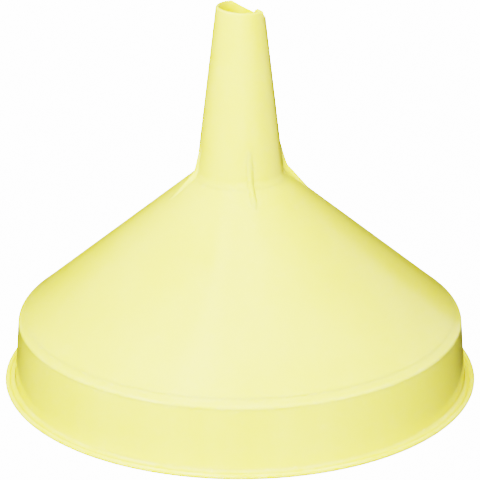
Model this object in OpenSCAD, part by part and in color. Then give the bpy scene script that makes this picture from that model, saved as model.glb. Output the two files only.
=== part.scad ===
// Large plastic pouring funnel, standing on its mouth with the spout up.
// It is one moulding: a rolled mouth rim, a drafted collar, a flared shoulder, a
// cone, a tapered spout with four vent ribs at its foot, and a slanted spout tip.
// Z is the funnel's axis. Z = 0 is the plane that the mouth rim rests on.

/* [Mouth] */
// Diameter over the rolled mouth rim
rim_d = 250; // [200:1:320]
// Thickness of the flat flange behind the rolled edge
flange_t = 1.8; // [1.5:0.1:2.2]
// Diameter of the roll along the flange's outer edge
edge_roll_d = 2.8; // [2.4:0.1:3.2]
// Width of the flange outside the collar's foot
flange_w = 5.4; // [5:0.1:8]
// Radius of the cove between the flange and the collar
flange_cove_r = 2; // [0.8:0.1:2]

/* [Shoulder] */
// Radius of the rounded shoulder where the collar turns into the cone
shoulder_r = 2.2; // [2:0.1:3.5]
// How far the shoulder's widest point lies inside the collar's foot
collar_draft = 2.6; // [1:0.1:5]
// Height of the centre of the shoulder's rounding
shoulder_z = 33.3; // [25:0.1:50]
// How far the flare lifts the shoulder above the line of the cone's face
flare_h = 0.1; // [0.1:0.1:1]
// Radius of the hollow flare between the shoulder and the cone
flare_r = 80; // [40:1:120]

/* [Cone] */
// Slope of the cone's outer face from the horizontal, in degrees
cone_angle = 39.9; // [35:0.1:45]
// Thickness of the wall everywhere
wall_t = 1.8; // [1.4:0.1:2.2]

/* [Spout] */
// Outer diameter of the spout where the cone's face would meet it
neck_d = 45.4; // [40:0.1:50]
// Outer diameter of the spout's tip
tip_d = 24.4; // [22:0.1:30]
// Height from the mouth rim's underside to the spout's tip
total_h = 201.3; // [190:0.1:215]
// Radius of the fillet between the cone and the spout
neck_fillet_r = 6; // [3:0.5:9]

/* [Spout tip] */
// Direction that the slanted cut faces, in degrees from +X toward +Y
cut_dir = 20; // [0:0.5:360]
// Slope of the slanted cut from the horizontal, in degrees
cut_slope = 36; // [20:0.5:50]
// Distance from the axis at which the slanted cut begins
cut_start = 2.4; // [1:0.1:8]
// Direction of the rounded stub on the slanted cut, in degrees from +X toward +Y
stub_dir = 16; // [5:0.5:40]
// Radius of the stub's round top
stub_r = 4.3; // [3:0.1:5]
// How far the stub's top lies below the spout's tip
stub_drop = 3.8; // [3:0.1:5]

/* [Vent ribs] */
// Thickness of each vent rib
rib_t = 1.6; // [1.2:0.1:2.5]
// How far a rib stands out from the spout, just above the neck
rib_proud = 2.3; // [1.5:0.1:3]
// How far a rib's knee stands outside the neck
rib_knee_out = 3.9; // [3.5:0.1:5]
// Length of a rib up the spout, from the neck
rib_up = 18; // [10:0.5:30]
// Length of a rib down the cone, measured out from the neck
rib_out = 15; // [10:0.5:20]

/* [Hidden] */
$fn = 96;

plastic = [0.93, 0.92, 0.66];
plastic_edge = [0.88, 0.87, 0.55];

// Distance that a cutting or joining shape runs past the face that it meets.
over = 5;
arc_steps = 10;

function unit(a) = [cos(a), sin(a)];
function arc(centre, radius, from, to) =
    [for (i = [0:arc_steps]) centre + radius * unit(from + (to - from) * i / arc_steps)];

// The point where the line through p along angle a meets the line through q along b.
function cross2(u, v) = u[0] * v[1] - u[1] * v[0];
function meet(p, a, q, b) =
    p + unit(a) * cross2(q - p, unit(b)) / cross2(unit(a), unit(b));

// Rolled edge, flange and cove, in the half plane [radius, height].
rim_r = rim_d / 2;
edge_roll_r = edge_roll_d / 2;
edge_centre = [rim_r - edge_roll_r, edge_roll_r];
edge_end = 180 - asin((flange_t - edge_roll_r) / edge_roll_r);
foot = [rim_r - flange_w, flange_t];

// The collar's face runs from its foot as a tangent to the shoulder's rounding.
shoulder_c = [foot[0] - collar_draft - shoulder_r, shoulder_z];
foot_to_c = shoulder_c - foot;
collar_a = atan2(foot_to_c[1], foot_to_c[0]) - asin(shoulder_r / norm(foot_to_c));
collar_n = collar_a - 90;
collar_top = shoulder_c + shoulder_r * unit(collar_n);
collar_top_in = shoulder_c + (shoulder_r - wall_t) * unit(collar_n);
foot_in = meet(collar_top_in, collar_a, [0, flange_t], 0);
mouth_in = meet(collar_top_in, collar_a, [0, 0], 0);
cove_c = foot + flange_cove_r * [1 / cos(collar_n) + tan(collar_n), 1];
cove_top = cove_c - flange_cove_r * unit(collar_n);

// The line of the cone's face passes flare_h under the shoulder's rounding. cone_n is
// its outward normal and cone_a runs up along it toward the axis.
cone_n = 90 - cone_angle;
cone_a = 180 - cone_angle;
under_shoulder = shoulder_c + (shoulder_r - flare_h) * unit(cone_n);
flare_run = sqrt(pow(shoulder_r + flare_r, 2) - pow(flare_r + shoulder_r - flare_h, 2));
cone_start = under_shoulder + flare_run * unit(cone_a);
cone_start_in = cone_start - wall_t * unit(cone_n);
flare_c = cone_start + flare_r * unit(cone_n);
flare_to_c = flare_c - shoulder_c;
flare_a = atan2(flare_to_c[1], flare_to_c[0]);
corner_in = meet(cone_start_in, cone_a, collar_top_in, collar_a);

// The neck is where the cone's face would meet the spout's face.
neck = meet(cone_start, cone_a, [neck_d / 2, 0], 90);
tip = [tip_d / 2, total_h];
spout_dir = tip - neck;
spout_a = atan2(spout_dir[1], spout_dir[0]);
spout_n = spout_a - 90;
neck_c = neck + neck_fillet_r * (unit(cone_n) + unit(spout_n)) / (1 + cos(cone_n - spout_n));
cone_end = neck_c - neck_fillet_r * unit(cone_n);
cone_end_in = neck_c - (neck_fillet_r + wall_t) * unit(cone_n);
tip_in = meet(neck_c - (neck_fillet_r + wall_t) * unit(spout_n), spout_a, [0, total_h], 0);

// Ribs: each outline comes down the spout, thickens toward the neck, turns outward at
// the knee and runs down the cone to its foot.
rib_thigh_up = 6;
rib_thigh_share = 0.65;
rib_shin_up = 1.5;
rib_knee_drop = 0.3;
function by_spout(up, out) = meet(neck, spout_a, [0, neck[1] + up], 0) + [out, 0];
rib_top = by_spout(rib_up, 0);
rib_thigh = by_spout(rib_thigh_up, rib_proud * rib_thigh_share);
rib_shin = by_spout(rib_shin_up, rib_proud);
rib_knee = neck + [rib_knee_out, -rib_knee_drop];
rib_foot = meet(neck, cone_a, [neck[0] + rib_out, 0], 90);

module revolve(outline)
{
    rotate_extrude() polygon(outline);
}

module mouth_rim()
{
    color(plastic_edge)
    revolve(concat(
        [mouth_in],
        arc(edge_centre, edge_roll_r, -90, edge_end),
        arc(cove_c, flange_cove_r, 270, 180 + collar_n),
        [foot, foot_in]
    ));
}

module collar()
{
    color(plastic)
    revolve([foot_in, foot, collar_top, collar_top_in]);
}

module shoulder()
{
    color(plastic_edge)
    revolve(concat(
        arc(shoulder_c, shoulder_r, collar_n, flare_a),
        arc(flare_c, flare_r, flare_a + 180, cone_n + 180),
        [cone_start_in, corner_in, collar_top_in]
    ));
}

module cone()
{
    color(plastic)
    revolve([cone_start, cone_end, cone_end_in, cone_start_in]);
}

// Everything above the slanted cut through the spout's tip.
module above_cut()
{
    rotate([0, 0, cut_dir])
    translate([cut_start, 0, total_h])
    rotate([0, cut_slope, 0])
    translate([0, -tip_d, 0])
    cube([tip_d * 2, tip_d * 2, tip_d]);
}

module spout_wall()
{
    revolve(concat(
        [cone_end_in],
        arc(neck_c, neck_fillet_r, cone_n + 180, spout_n + 180),
        [tip, tip_in],
        arc(neck_c, neck_fillet_r + wall_t, spout_n + 180, cone_n + 180)
    ));
}

module spout()
{
    color(plastic)
    difference()
    {
        spout_wall();
        above_cut();
    }
}

// A round-topped piece of the spout's wall that stands on the slanted cut.
module gate_stub()
{
    color(plastic_edge)
    intersection()
    {
        spout_wall();
        above_cut();
        rotate([0, 0, stub_dir])
        translate([0, 0, total_h - stub_drop - stub_r])
        rotate([0, 90, 0])
        cylinder(r = stub_r, h = tip_d);
    }
}

// The body's outside, filled, which is taken off each rib's inner edge.
module outer_core()
{
    revolve(concat(
        [[0, cone_start[1]], cone_start, cone_end],
        arc(neck_c, neck_fillet_r, cone_n + 180, spout_n + 180),
        [tip, [0, total_h]]
    ));
}

module vent_rib(turn)
{
    color(plastic_edge)
    difference()
    {
        rotate([90, 0, turn])
        translate([0, 0, -rib_t / 2])
        linear_extrude(rib_t)
        polygon([
            rib_top, rib_thigh, rib_shin, rib_knee, rib_foot,
            rib_foot - [over, 0], [rib_foot[0] - rib_out - over, neck[1]]
        ]);
        outer_core();
    }
}

module vent_rib_front() { vent_rib(-90); }
module vent_rib_right() { vent_rib(0); }
module vent_rib_back() { vent_rib(90); }
module vent_rib_left() { vent_rib(180); }

mouth_rim();
collar();
shoulder();
cone();
spout();
gate_stub();
vent_rib_front();
vent_rib_right();
vent_rib_back();
vent_rib_left();
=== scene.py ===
"""A wide pouring funnel in pale yellow plastic, standing on its mouth with its spout up.

Lengths are metres in the CAD frame: Z is the funnel's axis and Z = 0 is the plane that
the mouth rim rests on. The funnel is one moulding, and each of its features is a closed
mesh of its own that replaces the CAD node of the same shape. The turned pieces share one
half outline, [radius, height], so that their faces run on into each other.
"""

import math

import bpy
import numpy as np
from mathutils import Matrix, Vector, noise


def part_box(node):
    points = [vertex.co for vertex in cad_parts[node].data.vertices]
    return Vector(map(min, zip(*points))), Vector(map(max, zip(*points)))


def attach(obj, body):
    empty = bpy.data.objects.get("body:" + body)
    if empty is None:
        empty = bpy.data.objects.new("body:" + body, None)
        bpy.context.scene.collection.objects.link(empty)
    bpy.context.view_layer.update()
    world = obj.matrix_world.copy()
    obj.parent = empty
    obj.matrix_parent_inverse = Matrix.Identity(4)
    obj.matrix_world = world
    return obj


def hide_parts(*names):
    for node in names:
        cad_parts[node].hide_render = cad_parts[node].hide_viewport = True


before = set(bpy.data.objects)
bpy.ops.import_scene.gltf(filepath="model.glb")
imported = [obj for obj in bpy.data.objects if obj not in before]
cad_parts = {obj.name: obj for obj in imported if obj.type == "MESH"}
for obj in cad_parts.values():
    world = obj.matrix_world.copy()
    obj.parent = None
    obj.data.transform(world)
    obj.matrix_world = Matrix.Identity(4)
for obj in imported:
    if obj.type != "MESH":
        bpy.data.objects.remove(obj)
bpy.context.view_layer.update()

MM = 0.001

# ---------------------------------------------------------------- dimensions
# Read from the CAD nodes' boxes.
rim_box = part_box("mouth_rim")
collar_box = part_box("collar")
shoulder_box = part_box("shoulder")
cone_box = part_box("cone")
spout_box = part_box("spout")

RIM_R = rim_box[1].x
FLANGE_T = collar_box[0].z
FOOT_R = collar_box[1].x
SHOULDER_MAX_R = shoulder_box[1].x
CONE_START = np.array([cone_box[1].x, shoulder_box[1].z])
CONE_END_Z = cone_box[1].z
TIP_Z = spout_box[1].z

# The design values that the boxes don't show.
WALL_T = 1.8 * MM
EDGE_ROLL_R = 1.4 * MM
COVE_R = 2 * MM
SHOULDER_R = 2.2 * MM
SHOULDER_Z = 33.3 * MM
FLARE_R = 80 * MM
CONE_ANGLE = 39.9
NECK_R = 22.7 * MM
TIP_R = 12.2 * MM
NECK_FILLET_R = 6 * MM
LIP_OUT_R = 1.0 * MM
LIP_IN_R = 0.5 * MM

# The slanted cut through the spout's tip, and the stub that stands on it.
CUT_DIR = math.radians(20)
CUT_SLOPE = math.radians(36)
CUT_START = 2.4 * MM
CUT_EASE = 0.5 * MM
RAGGED_H = 0.12 * MM
RAGGED_SCALE = 700
TRIM_H = 30 * MM
TILT_DIR = math.radians(309.5)
TILT_SLOPE = math.radians(4.5)
TILT_START = -8 * MM
STUB_DIR = math.radians(15)
STUB_HALF = Vector((4.5, 1.15, 3.3)) * MM
STUB_TOP_DROP = 3.8 * MM
STUB_BOXY = 0.65
STUB_OUT = 0.1 * MM
STUB_ROUGH = 0.10
STUB_ROUGH_SCALE = 1.9
STUB_ROUGH_SHIFT = Vector((3, 1, 7))

# Vent ribs.
RIB_T = 1.3 * MM
RIB_PROUD = 2.3 * MM
RIB_KNEE_OUT = 3.9 * MM
RIB_KNEE_DROP = 0.3 * MM
RIB_SHIN_UP = 1.5 * MM
RIB_THIGH_UP = 6 * MM
RIB_THIGH_SHARE = 0.65
RIB_UP = 18 * MM
RIB_SUNK = 0.4 * MM
RIB_FOOT_W = 1.1 * MM
RIB_FOOT_H = 0.6 * MM

SEGMENTS = 256
ARC_STEP = 6
LINE_STEP = 4 * MM


# ---------------------------------------------------------------- outline geometry
def unit(a):
    return np.array([math.cos(math.radians(a)), math.sin(math.radians(a))])


def cross(u, v):
    return u[0] * v[1] - u[1] * v[0]


def meet(p, a, q, b):
    """Where the line through p along angle a crosses the line through q along b."""
    return p + unit(a) * cross(q - p, unit(b)) / cross(unit(a), unit(b))


def angle_of(v):
    return math.degrees(math.atan2(v[1], v[0]))


def line(p, q):
    """A straight stroke: rows of radius, height and the outward normal, right of travel."""
    run = q - p
    length = float(np.hypot(*run))
    normal = np.array([run[1], -run[0]]) / length
    steps = max(1, round(length / LINE_STEP))
    return [np.concatenate([p + run * i / steps, normal]) for i in range(steps + 1)]


def arc(centre, radius, start, end):
    """A round stroke. Rising angles bulge outward, and falling angles are hollow."""
    steps = max(4, round(abs(end - start) / ARC_STEP))
    side = 1 if end > start else -1
    angles = [start + (end - start) * i / steps for i in range(steps + 1)]
    return [np.concatenate([centre + radius * unit(a), side * unit(a)]) for a in angles]


# The collar's face is a tangent from its foot to the shoulder's rounding.
foot = np.array([FOOT_R, FLANGE_T])
shoulder_c = np.array([SHOULDER_MAX_R - SHOULDER_R, SHOULDER_Z])
foot_to_c = shoulder_c - foot
collar_a = angle_of(foot_to_c) - math.degrees(math.asin(SHOULDER_R / np.hypot(*foot_to_c)))
collar_n = collar_a - 90
collar_top = shoulder_c + SHOULDER_R * unit(collar_n)
collar_top_in = collar_top - WALL_T * unit(collar_n)
foot_in = meet(collar_top_in, collar_a, np.array([0, FLANGE_T]), 0)
mouth_in = meet(collar_top_in, collar_a, np.array([0, 0]), 0)

# The cone's face, and the hollow flare that lifts it onto the shoulder.
cone_n = 90 - CONE_ANGLE
cone_a = 180 - CONE_ANGLE
cone_start_in = CONE_START - WALL_T * unit(cone_n)
flare_c = CONE_START + FLARE_R * unit(cone_n)
flare_a = angle_of(flare_c - shoulder_c)
corner_in = meet(cone_start_in, cone_a, collar_top_in, collar_a)

# The spout's face meets the cone's at the neck, and a fillet rounds that corner.
neck = meet(CONE_START, cone_a, np.array([NECK_R, 0]), 90)
tip = np.array([TIP_R, TIP_Z])
spout_a = angle_of(tip - neck)
spout_n = spout_a - 90
half_turn = math.cos(math.radians(cone_n - spout_n))
neck_c = neck + NECK_FILLET_R * (unit(cone_n) + unit(spout_n)) / (1 + half_turn)
cone_end = neck_c - NECK_FILLET_R * unit(cone_n)
cone_end_in = cone_end - WALL_T * unit(cone_n)
spout_start = neck_c - NECK_FILLET_R * unit(spout_n)
spout_start_in = spout_start - WALL_T * unit(spout_n)
tip_in = meet(spout_start_in, spout_a, np.array([0, TIP_Z]), 0)


# ---------------------------------------------------------------- mesh helpers
def new_mesh(name, verts, faces, loop_normals=None):
    mesh = bpy.data.meshes.new(name)
    mesh.from_pydata([tuple(v) for v in verts], [], faces)
    mesh.validate()
    mesh.shade_smooth()
    if loop_normals is not None:
        mesh.normals_split_custom_set([tuple(n) for n in loop_normals])
    piece = bpy.data.objects.new(name, mesh)
    bpy.context.scene.collection.objects.link(piece)
    return piece


def lathe(name, strokes, warp=None):
    """Turns a closed outline, given as strokes in anticlockwise order, about Z.

    Each stroke's own normals are kept, so a round stroke runs smoothly into a straight
    one and the corners between strokes stay crisp. warp moves the finished points.
    """
    rows = []
    spans = []
    for stroke in strokes:
        for start, end in zip(stroke, stroke[1:]):
            rows.append(start[:2])
            spans.append((start[2:], end[2:]))
    count = len(rows)
    turns = [2 * math.pi * j / SEGMENTS for j in range(SEGMENTS)]
    verts = [(r * math.cos(t), r * math.sin(t), z) for t in turns for r, z in rows]
    if warp:
        verts = [warp(Vector(v)) for v in verts]

    faces = []
    normals = []
    for j in range(SEGMENTS):
        k = (j + 1) % SEGMENTS
        for i, (low, high) in enumerate(spans):
            n = (i + 1) % count
            faces.append((j * count + i, k * count + i, k * count + n, j * count + n))
            corners = ((turns[j], low), (turns[k], low), (turns[k], high), (turns[j], high))
            for turn, side in corners:
                normals.append((side[0] * math.cos(turn), side[0] * math.sin(turn), side[1]))
    return new_mesh(name, verts, faces, normals)


# ---------------------------------------------------------------- turned pieces
def mouth_rim():
    roll_c = np.array([RIM_R - EDGE_ROLL_R, EDGE_ROLL_R])
    roll_end = 180 - math.degrees(math.asin((FLANGE_T - EDGE_ROLL_R) / EDGE_ROLL_R))
    collar_slant = math.radians(collar_n)
    cove_side = 1 / math.cos(collar_slant) + math.tan(collar_slant)
    cove_c = foot + COVE_R * np.array([cove_side, 1])
    return lathe("mouth_rim_shell", [
        line(mouth_in, roll_c - [0, EDGE_ROLL_R]),
        arc(roll_c, EDGE_ROLL_R, -90, roll_end),
        line(roll_c + EDGE_ROLL_R * unit(roll_end), cove_c - [0, COVE_R]),
        arc(cove_c, COVE_R, 270, 180 + collar_n),
        line(cove_c - COVE_R * unit(collar_n), foot),
        line(foot, foot_in),
        line(foot_in, mouth_in),
    ])


def collar():
    return lathe("collar_shell", [
        line(foot, collar_top),
        line(collar_top, collar_top_in),
        line(collar_top_in, foot_in),
        line(foot_in, foot),
    ])


def shoulder():
    return lathe("shoulder_shell", [
        arc(shoulder_c, SHOULDER_R, collar_n, flare_a),
        arc(flare_c, FLARE_R, flare_a + 180, cone_n + 180),
        line(CONE_START, cone_start_in),
        line(cone_start_in, corner_in),
        line(corner_in, collar_top_in),
        line(collar_top_in, collar_top),
    ])


def cone():
    return lathe("cone_shell", [
        line(CONE_START, cone_end),
        line(cone_end, cone_end_in),
        line(cone_end_in, cone_start_in),
        line(cone_start_in, CONE_START),
    ])


def plane_drop(x, y, turn, slope, start):
    """How far a slanted plane lies below the spout's tip at x, y, eased at its start."""
    along = x * math.cos(turn) + y * math.sin(turn) - start
    return math.tan(slope) * 0.5 * (along + math.hypot(along, CUT_EASE))


def cut_drop(x, y):
    """How far the spout's rim lies below its highest point, at x, y."""
    cut = plane_drop(x, y, CUT_DIR, CUT_SLOPE, CUT_START)
    return max(cut, plane_drop(x, y, TILT_DIR, TILT_SLOPE, TILT_START))


def spout():
    taper = (tip_in[0] - spout_start_in[0]) / (TIP_Z - spout_start_in[1])
    trim_from = TIP_Z - TRIM_H

    def trim(v):
        """Slides the wall's top down its own taper until it lies on the slanted cut."""
        if v.z <= trim_from:
            return v
        share = (v.z - trim_from) / (TIP_Z - trim_from)
        ragged = RAGGED_H * noise.noise(Vector((v.x, v.y, 0)) * RAGGED_SCALE)
        drop = cut_drop(v.x, v.y)
        drop += ragged * min(1.0, drop / MM)
        radius = math.hypot(v.x, v.y)
        slid = radius - taper * drop * share
        return Vector((v.x * slid / radius, v.y * slid / radius, v.z - drop * share))

    lip_turn = math.radians(spout_n)
    out_c = tip - [LIP_OUT_R * (1 / math.cos(lip_turn) - math.tan(lip_turn)), LIP_OUT_R]
    in_c = tip_in + [LIP_IN_R * (1 / math.cos(lip_turn) + math.tan(lip_turn)), -LIP_IN_R]
    out_top = out_c + LIP_OUT_R * unit(spout_n)
    in_top = in_c - LIP_IN_R * unit(spout_n)
    return lathe("spout_shell", [
        arc(neck_c, NECK_FILLET_R, cone_n + 180, spout_n + 180),
        line(spout_start, out_top),
        arc(out_c, LIP_OUT_R, spout_n, 90),
        line(out_c + [0, LIP_OUT_R], in_c + [0, LIP_IN_R]),
        arc(in_c, LIP_IN_R, 90, 180 + spout_n),
        line(in_top, spout_start_in),
        arc(neck_c, NECK_FILLET_R + WALL_T, spout_n + 180, cone_n + 180),
        line(cone_end_in, cone_end),
    ], warp=trim)


# ---------------------------------------------------------------- stub and ribs
def gate_stub():
    """A rough rounded lug that follows the spout's wall and is sunk into the cut."""
    rings = 28
    spokes = 48
    centre_z = TIP_Z - STUB_TOP_DROP - STUB_HALF.z
    wall_r = (tip[0] + tip_in[0]) / 2 + STUB_OUT

    def boxy(share):
        return math.copysign(abs(share) ** STUB_BOXY, share)

    def place(side, out, up):
        """A point of the lug, given by its direction on a ball."""
        where = Vector((side, out, up)) * STUB_ROUGH_SCALE + STUB_ROUGH_SHIFT
        rough = 1 + STUB_ROUGH * noise.noise(where)
        turn = STUB_DIR + boxy(side) * rough * STUB_HALF.x / wall_r
        radius = wall_r + boxy(out) * rough * STUB_HALF.y
        height = centre_z + boxy(up) * rough * STUB_HALF.z
        return (radius * math.cos(turn), radius * math.sin(turn), height)

    verts = [place(0, 0, -1)]
    for i in range(1, rings):
        tilt = math.pi * i / rings - math.pi / 2
        flat = math.cos(tilt)
        for j in range(spokes):
            turn = 2 * math.pi * j / spokes
            verts.append(place(flat * math.cos(turn), flat * math.sin(turn), math.sin(tilt)))
    verts.append(place(0, 0, 1))

    top = len(verts) - 1
    faces = [(0, 1 + j, 1 + (j + 1) % spokes) for j in range(spokes)]
    for i in range(rings - 2):
        for j in range(spokes):
            k = (j + 1) % spokes
            low, high = 1 + i * spokes, 1 + (i + 1) * spokes
            faces.append((low + j, high + j, high + k, low + k))
    last = 1 + (rings - 2) * spokes
    faces += [(last + j, top, last + (j + 1) % spokes) for j in range(spokes)]
    return new_mesh("gate_stub_lug", verts, faces)


def by_spout(up, out):
    """A point up the spout's face from the neck, and out from it."""
    return meet(neck, spout_a, np.array([0, neck[1] + up]), 0) + [out, 0]


def rib_curve(points, count):
    """count points, evenly spaced along a smooth curve that runs near the given corners.

    Each round cuts every corner off at a quarter of its two sides.
    """
    path = np.array(points, float)
    for _ in range(4):
        cut = [path[0]]
        for a, b in zip(path, path[1:]):
            cut += [a * 0.75 + b * 0.25, a * 0.25 + b * 0.75]
        path = np.array(cut + [path[-1]])
    run = np.concatenate([[0], np.cumsum(np.hypot(*np.diff(path, axis=0).T))])
    at = np.linspace(0, run[-1], count)
    return np.stack([np.interp(at, run, path[:, k]) for k in (0, 1)], axis=1)


def vent_rib(name, turn, height, reach):
    """A thin fin with a round crest and a soft foot, sunk a little into the wall.

    height is the crest's height as a share of the design's, and reach is how far the
    fin runs out from the neck.
    """
    steps = 64
    top = by_spout(RIB_UP, 0)
    thigh = by_spout(RIB_THIGH_UP, RIB_PROUD * RIB_THIGH_SHARE)
    shin = by_spout(RIB_SHIN_UP, RIB_PROUD)
    knee = neck + [RIB_KNEE_OUT, -RIB_KNEE_DROP]
    base = meet(neck, cone_a, np.array([neck[0] + reach, 0]), 90)
    crest = rib_curve([top, thigh, shin, knee, base], steps)
    bend = neck_c - NECK_FILLET_R * unit((cone_n + spout_n) / 2)
    root = rib_curve([top, spout_start, bend, cone_end, base], steps)
    crest = root + (crest - root) * height
    root = root - RIB_SUNK * unit((cone_n + spout_n) / 2)
    depth = np.array([0, 0.06, 0.14, 0.26, 0.42, 0.6, 0.78, 0.9, 1.0])

    columns = []
    for outer, inner in zip(crest, root):
        length = float(np.hypot(*(outer - inner)))
        column = []
        for share in depth:
            below = share * length
            above = max(0.0, (1 - share) * length - RIB_SUNK)
            round_off = math.sqrt(max(0.0, 1 - (1 - min(1.0, below / (RIB_T / 2))) ** 2))
            soft_foot = RIB_FOOT_W * math.exp(-above / RIB_FOOT_H)
            half = RIB_T / 2 * round_off * (0.82 + 0.18 * share) + soft_foot * round_off
            column.append((outer + (inner - outer) * share, half))
        columns.append(column)

    c, s = math.cos(turn), math.sin(turn)

    def at(point, side):
        return (point[0] * c - side * s, point[0] * s + side * c, point[1])

    verts = []
    rows = 2 * len(depth) - 1
    for column in columns:
        left = [at(p, half) for p, half in reversed(column)]
        right = [at(p, -half) for p, half in column[1:]]
        verts += left + right
    faces = []
    for i in range(steps - 1):
        for j in range(rows):
            n = (j + 1) % rows
            faces.append((i * rows + j, i * rows + n, (i + 1) * rows + n, (i + 1) * rows + j))
    faces.append(tuple(reversed(range(rows))))
    faces.append(tuple(range((steps - 1) * rows, steps * rows)))
    piece = new_mesh(name, verts, faces)
    piece.data.set_sharp_from_angle(angle=math.radians(50))
    return piece


# ---------------------------------------------------------------- material
DEEP_YELLOW = (0.86, 0.73, 0.150, 1)
LIGHT_YELLOW = (0.90, 0.77, 0.182, 1)
# The pale colour of scuffs and edge wear, also painted as a highlight along the edge bands.
WORN_AND_HIGHLIT_YELLOW = (0.93, 0.83, 0.34, 1)
ROUGHNESS = 0.19

# The lowest, palest and highest part of each pale edge band: the mouth rim's rolled
# edge, the shoulder and the spout's tip. Each band is partly rubbed wear and partly a
# painted highlight line.
WORN_AND_HIGHLIT_EDGES = (
    (1.9 * MM, 2.6 * MM, 3.2 * MM),
    (SHOULDER_Z, SHOULDER_Z + 1.4 * MM, SHOULDER_Z + 2.6 * MM),
    (TIP_Z - 3 * MM, TIP_Z - 1.3 * MM, TIP_Z + 1 * MM),
)


def plastic(name, scuff_level):
    """Pale yellow, slightly translucent polyethylene, with pale proud edges: partly wear, partly
    painted highlight.

    scuff_level is the noise level above which the surface is scuffed: lower means more.
    """
    material = bpy.data.materials.new(name)
    material.use_nodes = True
    nodes = material.node_tree.nodes
    links = material.node_tree.links
    nodes.clear()

    def add(kind, **inputs):
        node = nodes.new(kind)
        for key, value in inputs.items():
            node.inputs[key.replace("_", " ")].default_value = value
        return node

    where = add("ShaderNodeTexCoord")

    def cloud(scale, detail, roughness=0.5, stretch=(1, 1, 1)):
        place = add("ShaderNodeMapping", Scale=stretch)
        links.new(where.outputs["Object"], place.inputs["Vector"])
        node = add("ShaderNodeTexNoise", Scale=scale, Detail=detail, Roughness=roughness)
        links.new(place.outputs["Vector"], node.inputs["Vector"])
        return node.outputs["Fac"]

    def ramp(source, low, high, to_low, to_high):
        node = add("ShaderNodeMapRange", From_Min=low, From_Max=high, To_Min=to_low, To_Max=to_high)
        links.new(source, node.inputs["Value"])
        return node.outputs["Result"]

    def combine(operation, first, second):
        node = add("ShaderNodeMath")
        node.operation = operation
        links.new(first, node.inputs[0])
        links.new(second, node.inputs[1])
        return node.outputs["Value"]

    def blend(share, first, second):
        """Mixes two colours, each given as a colour or as another node's output."""
        node = nodes.new("ShaderNodeMix")
        node.data_type = "RGBA"
        links.new(share, node.inputs["Factor"])
        for socket, colour in (("A", first), ("B", second)):
            if isinstance(colour, tuple):
                node.inputs[socket].default_value = colour
            else:
                links.new(colour, node.inputs[socket])
        return node.outputs["Result"]

    out = add("ShaderNodeOutputMaterial")
    shader = add("ShaderNodeBsdfPrincipled", IOR=1.5)
    shader.inputs["Subsurface Weight"].default_value = 0.6
    shader.inputs["Subsurface Radius"].default_value = (1.0, 0.85, 0.25)
    shader.inputs["Subsurface Scale"].default_value = 3 * MM
    links.new(shader.outputs["BSDF"], out.inputs["Surface"])

    # Pale spots: small scuffs, and uneven bands on proud edges, partly wear, partly painted
    # highlight.
    spot = add("ShaderNodeSeparateXYZ")
    links.new(where.outputs["Object"], spot.inputs["Vector"])
    scuff = ramp(cloud(130, 6, 0.7), scuff_level, scuff_level + 0.08, 0, 1)
    wear_and_highlight = scuff
    patchy = ramp(cloud(35, 4, 0.6), 0.45, 0.65, 0.1, 0.9)
    # Edge bands: partly rubbed wear, partly painted highlight lines.
    for low, middle, high in WORN_AND_HIGHLIT_EDGES:
        rising = ramp(spot.outputs["Z"], low, middle, 0, 1)
        falling = ramp(spot.outputs["Z"], middle, high, 1, 0)
        wear_highlight_band = combine("MULTIPLY", rising, falling)
        wear_and_highlight = combine("MAXIMUM", wear_and_highlight, combine("MULTIPLY", wear_highlight_band, patchy))

    # The colour drifts, with faint flow marks that run up from the mouth.
    drift = ramp(cloud(14, 3), 0.3, 0.7, 0, 0.7)
    flow = ramp(cloud(60, 3, 0.5, (1, 1, 0.12)), 0.35, 0.7, 0, 0.3)
    tint = blend(combine("ADD", drift, flow), DEEP_YELLOW, LIGHT_YELLOW)
    wear_and_highlight_share = ramp(wear_and_highlight, 0, 1, 0, 0.35)
    # Pales the colour where scuffed or worn, and paints highlight lines along the edge bands.
    links.new(blend(wear_and_highlight_share, tint, WORN_AND_HIGHLIT_YELLOW), shader.inputs["Base Color"])

    gloss = ramp(cloud(60, 4, 0.6), 0.3, 0.7, ROUGHNESS - 0.03, ROUGHNESS + 0.03)
    dulled = ramp(wear_and_highlight, 0, 1, 0, 0.09)
    links.new(combine("ADD", gloss, dulled), shader.inputs["Roughness"])

    fine = add("ShaderNodeBump", Strength=0.05, Distance=0.4 * MM)
    links.new(cloud(260, 2), fine.inputs["Height"])
    rub = add("ShaderNodeBump", Strength=0.10, Distance=0.1 * MM)
    links.new(scuff, rub.inputs["Height"])
    links.new(fine.outputs["Normal"], rub.inputs["Normal"])
    links.new(rub.outputs["Normal"], shader.inputs["Normal"])
    return material


# ---------------------------------------------------------------- assembly
shell_plastic = plastic("pale_yellow_plastic_shell", 0.69)
rubbed_plastic = plastic("pale_yellow_plastic_rubbed", 0.60)
RUBBED = ("mouth_rim", "gate_stub")
turned = {
    "mouth_rim": mouth_rim(),
    "collar": collar(),
    "shoulder": shoulder(),
    "cone": cone(),
    "spout": spout(),
    "gate_stub": gate_stub(),
}
# Each rib's direction from the axis, its crest's share of the height, and its reach.
RIBS = {
    "vent_rib_front": (-90, 0.45, 11 * MM),
    "vent_rib_right": (0, 1.3, 15 * MM),
    "vent_rib_back": (90, 0.9, 15 * MM),
    "vent_rib_left": (180, 0.9, 15 * MM),
}
for node, (degrees, height, reach) in RIBS.items():
    turned[node] = vent_rib(node + "_fin", math.radians(degrees), height, reach)

for node, piece in turned.items():
    piece.data.materials.append(rubbed_plastic if node in RUBBED else shell_plastic)
    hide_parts(node)
    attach(piece, "root")


# ---------------------------------------------------------------- studio
# The camera: degrees right of -Y, metres, degrees down, and millimetres.
CAMERA_TURN = -13.5
CAMERA_AWAY = 1.0
CAMERA_HEIGHT = 0.4631
CAMERA_PITCH = 21.2
CAMERA_LENS = 153.9

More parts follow.
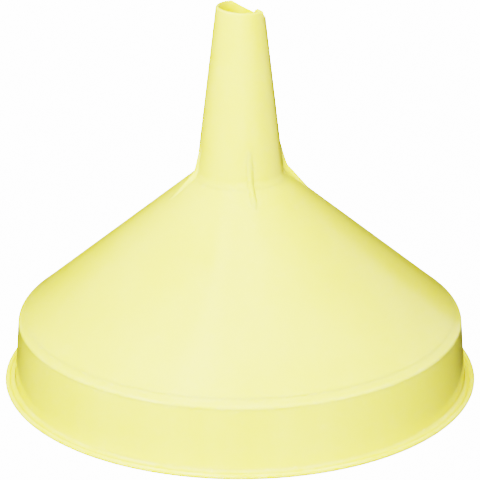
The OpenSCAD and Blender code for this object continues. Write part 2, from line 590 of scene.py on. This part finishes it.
# Lights: degrees right of the camera, degrees up, and watts.
SOFTBOX_AWAY = 1.6
SOFTBOX_SIDE = 0.9
AIM_Z = 0.09
BODY_LIGHTS = {
    "front_low": (0, 12, 24),
    "front": (0, 38, 24),
    "key": (-40, 38, 28),
    "left_high": (-45, 65, 3),
    "right_high": (45, 65, 5),
    "right_back": (135, 12, 3),
    "right_low": (95, 0, 6),
    "left_back": (-135, 12, 8),
    "back": (180, 15, 34),
}
GLOSS_LIGHTS = {
    "front_low": (0, 12, 4.4),
    "front": (0, 38, 4.6),
    "key": (-40, 38, 2.9),
    "left_high": (-45, 65, 3.4),
    "top": (0, 89, 3.6),
    "back_high": (180, 65, 3.8),
    "right_low": (100, 0, 0.3),
}
BACKDROP_GLOW = 7

# Panels that are seen only as soft reflections: where (right, toward the camera, up, in
# metres), degrees right of the camera, degrees up, width, height and watts.
REFLECTED_PANELS = {
    "ceiling_panel": ((-0.33, 0.50, 1.2), 10, 90, 0.33, 0.45, 0.80),
    "side_card": ((0.388, -0.115, 0.15), 115, 0, 0.38, 0.30, 0.25),
    "side_card_edge": ((0.388, -0.115, 0.298), 115, 0, 0.38, 0.014, 0.03),
}
FLOOR_HALF = 6.0


def floor():
    half = FLOOR_HALF
    corners = [(-half, -half, 0), (half, -half, 0), (half, half, 0), (-half, half, 0)]
    piece = new_mesh("studio_floor", corners, [(0, 1, 2, 3)])
    material = bpy.data.materials.new("studio_floor_paint")
    material.use_nodes = True
    shader = material.node_tree.nodes["Principled BSDF"]
    shader.inputs["Base Color"].default_value = (0.9, 0.9, 0.9, 1)
    shader.inputs["Roughness"].default_value = 0.9
    shader.inputs["Emission Color"].default_value = (1, 1, 1, 1)
    shader.inputs["Emission Strength"].default_value = BACKDROP_GLOW
    piece.data.materials.append(material)
    piece.visible_diffuse = False
    piece.visible_glossy = False


def lamp(name, place, turn, lift, width, height, power, in_gloss):
    """A rectangular light that faces the funnel from turn degrees right of the camera.

    in_gloss says whether it is a reflection on the gloss, or lights the body colour.
    """
    data = bpy.data.lights.new(name, "AREA")
    data.shape = "RECTANGLE"
    data.size = width
    data.size_y = height
    data.energy = power
    light = bpy.data.objects.new(name, data)
    light.location = place
    light.rotation_euler = (math.radians(90 - lift), 0, math.radians(CAMERA_TURN + turn))
    light.visible_camera = False
    light.visible_diffuse = not in_gloss
    light.visible_glossy = in_gloss
    bpy.context.scene.collection.objects.link(light)


def seen_from_camera(right, toward, up):
    """A place given by how far it is to the camera's right, toward the camera, and up."""
    a = math.radians(CAMERA_TURN)
    across = Vector((math.cos(a), math.sin(a), 0))
    nearer = Vector((math.sin(a), -math.cos(a), 0))
    return across * right + nearer * toward + Vector((0, 0, up))


def softbox(name, turn, lift, power, in_gloss):
    """A square light on a sphere round the funnel."""
    a = math.radians(turn)
    e = math.radians(lift)
    flat = SOFTBOX_AWAY * math.cos(e)
    up = AIM_Z + SOFTBOX_AWAY * math.sin(e)
    place = seen_from_camera(flat * math.sin(a), flat * math.cos(a), up)
    lamp(name, place, turn, lift, SOFTBOX_SIDE, SOFTBOX_SIDE, power, in_gloss)


def studio_lights():
    for name, (turn, lift, power) in BODY_LIGHTS.items():
        softbox(name, turn, lift, power, False)
    for name, (turn, lift, power) in GLOSS_LIGHTS.items():
        softbox(name + "_gloss", turn, lift, power, True)
    for name, (place, turn, lift, width, height, power) in REFLECTED_PANELS.items():
        lamp(name, seen_from_camera(*place), turn, lift, width, height, power, True)


def camera():
    a = math.radians(CAMERA_TURN)
    data = bpy.data.cameras.new("camera")
    data.lens = CAMERA_LENS
    data.sensor_width = 36
    data.clip_end = 50
    cam = bpy.data.objects.new("camera", data)
    cam.location = (math.sin(a) * CAMERA_AWAY, -math.cos(a) * CAMERA_AWAY, CAMERA_HEIGHT)
    cam.rotation_euler = (math.radians(90 - CAMERA_PITCH), 0, a)
    bpy.context.scene.collection.objects.link(cam)
    bpy.context.scene.camera = cam


def white_world():
    """White beyond the floor. The softboxes do the lighting."""
    world = bpy.data.worlds.new("studio")
    world.use_nodes = True
    world.node_tree.nodes["Background"].inputs["Color"].default_value = (1, 1, 1, 1)
    world.node_tree.nodes["Background"].inputs["Strength"].default_value = BACKDROP_GLOW
    world.cycles_visibility.diffuse = False
    world.cycles_visibility.glossy = False
    bpy.context.scene.world = world


floor()
camera()
studio_lights()
white_world()
bpy.context.scene.view_settings.view_transform = "Filmic"
bpy.context.scene.view_settings.look = "Very High Contrast"
